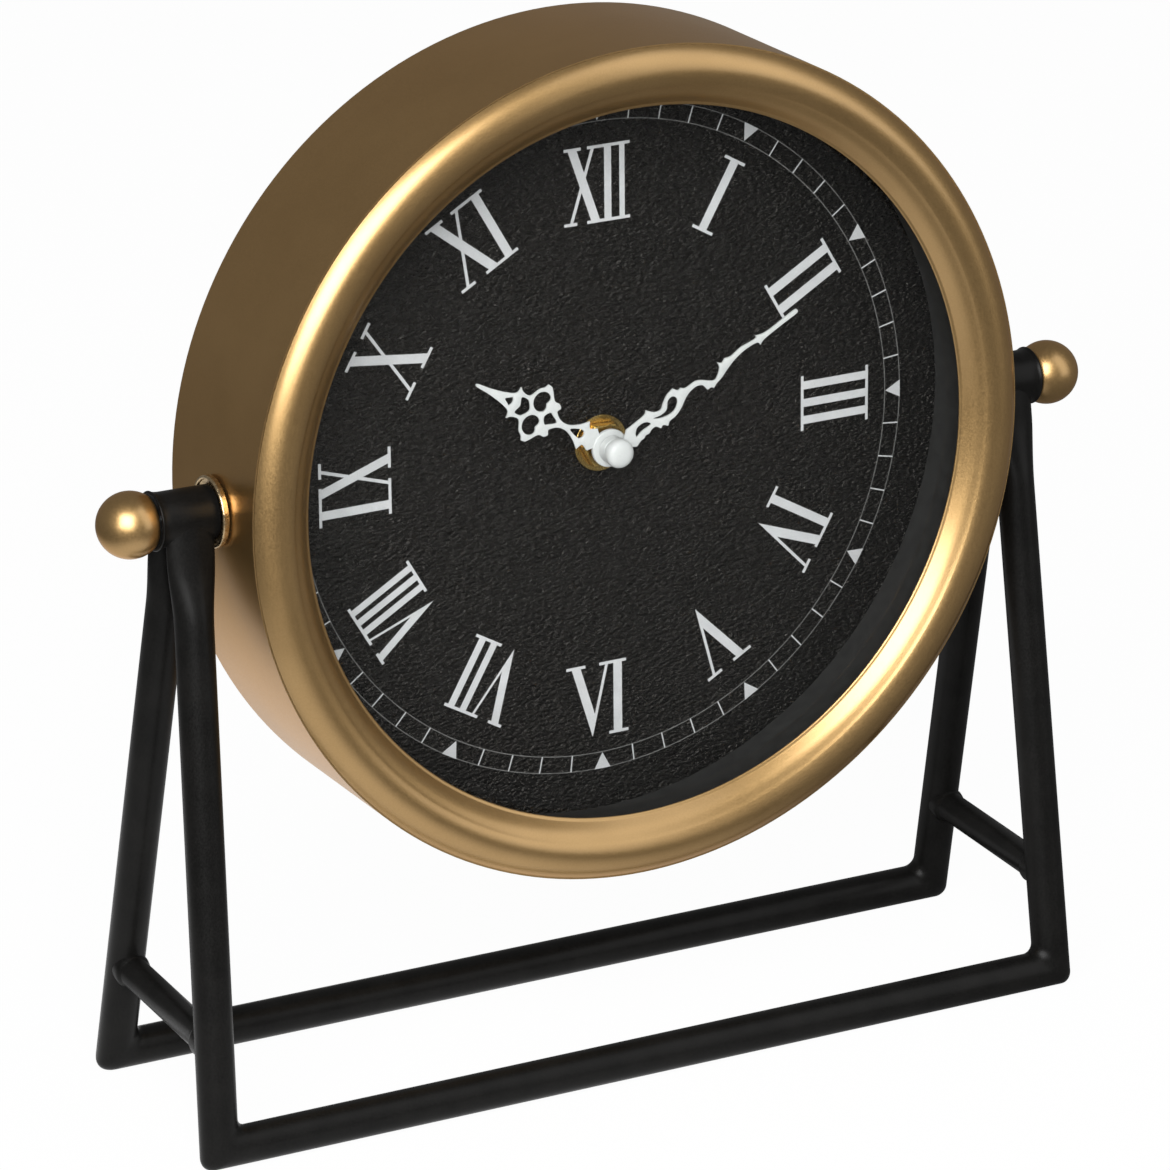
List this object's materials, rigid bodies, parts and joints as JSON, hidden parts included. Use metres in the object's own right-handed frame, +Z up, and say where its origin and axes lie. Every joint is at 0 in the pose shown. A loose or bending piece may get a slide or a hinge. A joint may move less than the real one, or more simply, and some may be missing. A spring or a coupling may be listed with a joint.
{
  "type": "table clock",
  "caption": "Round analogue table clock whose drum case tilts between the two uprights of a bent-tube stand, with pierced hands and a geared battery movement.",
  "frame": {"origin": "on the standing surface, under the middle of the stand", "axes": "+X to the right of someone facing the dial, +Y towards the back, +Z up; the dial faces -Y"},
  "size_m": [0.2834, 0.0736, 0.2747],
  "materials": {
    "black_board": "black-dyed fibreboard",
    "black_paint": "satin black paint",
    "black_plastic": "moulded black plastic",
    "black_rubber": "matt black rubber",
    "brass": "bright brass",
    "cell_jacket": "printed grey steel jacket",
    "clear_glass": "clear flat glass",
    "copper_wire": "enamelled copper wire",
    "dial_leather": "black pebbled leatherette",
    "gold_paint": "satin metallic gold-bronze paint",
    "green_board": "green solder resist",
    "steel": "plain steel",
    "white_paint": "flat white paint",
    "white_plastic": "moulded white plastic"
  },
  "bodies": {
    "stand": {"front_bar": "black_paint", "rear_bar": "black_paint", "left_front_leg": "black_paint", "left_rear_leg": "black_paint", "right_front_leg": "black_paint", "right_rear_leg": "black_paint", "left_brace": "black_paint", "right_brace": "black_paint", "left_sleeve": "black_paint", "right_sleeve": "black_paint"},
    "left_knob": {"left_knob": "gold_paint"},
    "right_knob": {"right_knob": "gold_paint"},
    "minute_hand": {"minute_hand": "white_paint", "hand_cap": "white_paint", "cannon_arbor": "steel"},
    "centre_wheel": {"centre_wheel": "brass"},
    "hour_hand": {"hour_hand": "white_paint", "hour_wheel": "white_plastic"},
    "motion_wheel": {"motion_wheel": "white_plastic", "setting_knob": "black_plastic"},
    "third_wheel": {"third_wheel": "white_plastic"},
    "seconds_wheel": {"seconds_wheel": "white_plastic"},
    "intermediate_wheel": {"intermediate_wheel": "white_plastic"},
    "rotor": {"rotor": "steel"},
    "battery": {"battery_cell": "cell_jacket"},
    "drum": {"back_cover": "black_board", "bezel_ring": "gold_paint", "brass_washer": "brass", "case_shell": "gold_paint", "circuit_board": "green_board", "coil_bobbin": "white_plastic", "coil_winding": "copper_wire", "dial_board": "black_board", "dial_face": "dial_leather", "front_spacer_ring": "black_paint", "glass_lens": "clear_glass", "hex_nut": "brass", "left_cup_washer": "gold_paint", "left_pivot_bolt": "steel", "movement_case": "black_plastic", "movement_cover": "black_plastic", "negative_contact": "steel", "positive_contact": "steel", "quartz_crystal": "steel", "rear_spacer_ring": "black_board", "right_cup_washer": "gold_paint", "right_pivot_bolt": "steel", "rubber_washer": "black_rubber", "stator_plate": "steel"}
  },
  "joints": [
    {"name": "drum_tilt", "type": "hinge", "parent": "stand", "child": "drum", "pos_m": [0, 0, 0.1639], "axis": [1, 0, 0], "continuous": true},
    {"name": "left_knob_turn", "type": "hinge", "parent": "drum", "child": "left_knob", "pos_m": [-0.1332, 0, 0.1639], "axis": [-1, 0, 0], "range_deg": [0, 180]},
    {"name": "right_knob_turn", "type": "hinge", "parent": "drum", "child": "right_knob", "pos_m": [0.1332, 0, 0.1639], "axis": [1, 0, 0], "range_deg": [0, 180]},
    {"name": "minute_turn", "type": "hinge", "parent": "drum", "child": "minute_hand", "pos_m": [0, 0, 0.1639], "axis": [0, 0.9992, -0.0401], "continuous": true},
    {"name": "hour_turn", "type": "hinge", "parent": "drum", "child": "hour_hand", "pos_m": [0, 0, 0.1639], "axis": [0, 0.9992, -0.0401], "continuous": true},
    {"name": "motion_wheel_turn", "type": "hinge", "parent": "drum", "child": "motion_wheel", "pos_m": [-0.00706, 0.00028, 0.17096], "axis": [0, 0.9992, -0.0401], "continuous": true},
    {"name": "centre_wheel_turn", "type": "hinge", "parent": "drum", "child": "centre_wheel", "pos_m": [0, 0, 0.1639], "axis": [0, 0.9992, -0.0401], "continuous": true},
    {"name": "third_wheel_turn", "type": "hinge", "parent": "drum", "child": "third_wheel", "pos_m": [0.00471, 0.00033, 0.17206], "axis": [0, 0.9992, -0.0401], "continuous": true},
    {"name": "seconds_wheel_turn", "type": "hinge", "parent": "drum", "child": "seconds_wheel", "pos_m": [0.00271, 0.00068, 0.18074], "axis": [0, 0.9992, -0.0401], "continuous": true},
    {"name": "intermediate_wheel_turn", "type": "hinge", "parent": "drum", "child": "intermediate_wheel", "pos_m": [0.00997, 0.00074, 0.18228], "axis": [0, 0.9992, -0.0401], "continuous": true},
    {"name": "rotor_turn", "type": "hinge", "parent": "drum", "child": "rotor", "pos_m": [0.01277, 0.00053, 0.17702], "axis": [0, 0.9992, -0.0401], "continuous": true},
    {"name": "battery_slide", "type": "slide", "parent": "drum", "child": "battery", "axis": [0, 0.9992, -0.0401], "range_m": [0, 0.025]}
  ],
  "couplings": [
    {"joint": "motion_wheel_turn", "follows": "minute_turn", "ratio": -0.33333},
    {"joint": "hour_turn", "follows": "minute_turn", "ratio": 0.083333},
    {"joint": "intermediate_wheel_turn", "follows": "rotor_turn", "ratio": -0.25},
    {"joint": "seconds_wheel_turn", "follows": "rotor_turn", "ratio": 0.033333},
    {"joint": "third_wheel_turn", "follows": "rotor_turn", "ratio": -0.0041667},
    {"joint": "centre_wheel_turn", "follows": "rotor_turn", "ratio": 0.00055556}
  ]
}
